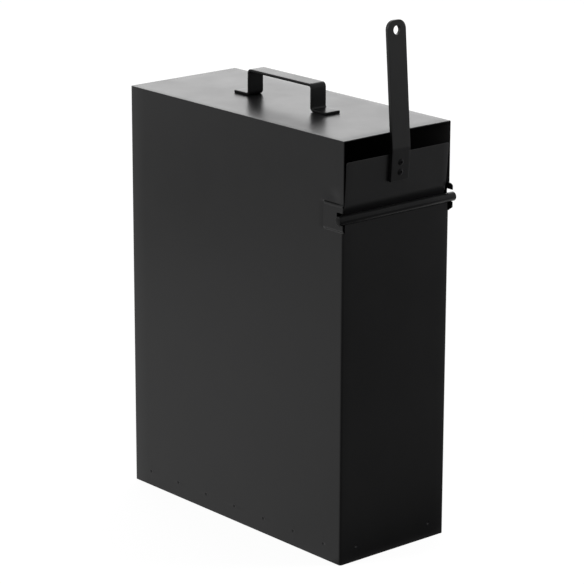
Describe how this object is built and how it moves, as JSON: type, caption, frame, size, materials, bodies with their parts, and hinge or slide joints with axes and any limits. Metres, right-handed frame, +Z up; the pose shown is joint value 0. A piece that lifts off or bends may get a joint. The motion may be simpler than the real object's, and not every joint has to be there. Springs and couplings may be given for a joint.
{
  "type": "ash bucket",
  "caption": "Tall narrow closed sheet steel ash bucket with a strap handle on its top and a hinged lever flap over the mouth in its front.",
  "frame": {"origin": "centre of the base, on the surface that the bucket stands on", "axes": "+Z up, -Y out of the mouth, X along the hinge rod"},
  "size_m": [0.164, 0.3582, 0.5752],
  "materials": {
    "painted_sheet": "black powder coat, satin",
    "painted_bar": "black powder coat, satin"
  },
  "bodies": {
    "box": {"body_shell": "painted_sheet", "rear_panel": "painted_sheet", "base_pan": "painted_sheet", "top_panel": "painted_sheet", "carry_handle": "painted_bar"},
    "flap": {"flap_plate": "painted_sheet", "hinge_rod": "painted_bar", "lever": "painted_bar", "lever_rivets": "painted_bar"}
  },
  "joints": [
    {"name": "flap_hinge", "type": "hinge", "parent": "box", "child": "flap", "pos_m": [0, -0.1755, 0.3775], "axis": [1, 0, 0], "range_deg": [0, 169]}
  ]
}
